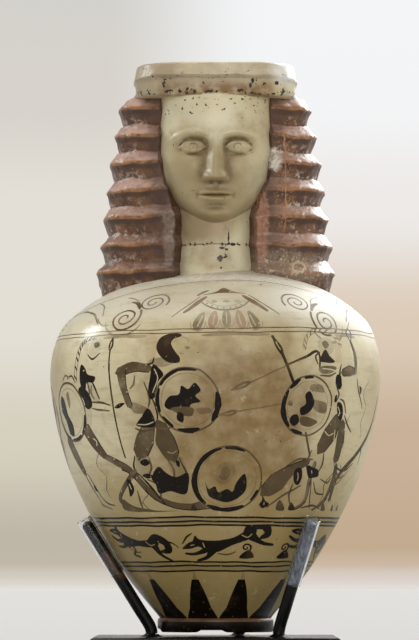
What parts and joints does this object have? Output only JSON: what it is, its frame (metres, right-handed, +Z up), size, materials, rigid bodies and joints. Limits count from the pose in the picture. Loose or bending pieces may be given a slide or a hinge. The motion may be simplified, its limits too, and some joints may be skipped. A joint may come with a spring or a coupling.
{
  "type": "figural aryballos",
  "caption": "Small painted clay oil flask with a woman's head and layered wig as its neck, standing in a pronged wire stand.",
  "frame": {"origin": "centre of the underside of the stand's plate, on the flask's axis", "axes": "+Z up along the flask's axis from foot to cap; the face looks to -Y and +X is to the right of the front view"},
  "size_m": [0.0362, 0.0362, 0.0655],
  "materials": {
    "clay": null,
    "steel": "black satin paint on bent steel wire and plate",
    "clear_tube": "clear flexible tubing, slightly scuffed"
  },
  "bodies": {
    "root": {"aryballos": "clay", "stand_plate": "steel", "prong_left": "steel", "prong_right": "steel", "prong_back": "steel", "sleeve_left": "clear_tube", "sleeve_right": "clear_tube", "sleeve_back": "clear_tube"}
  },
  "joints": []
}
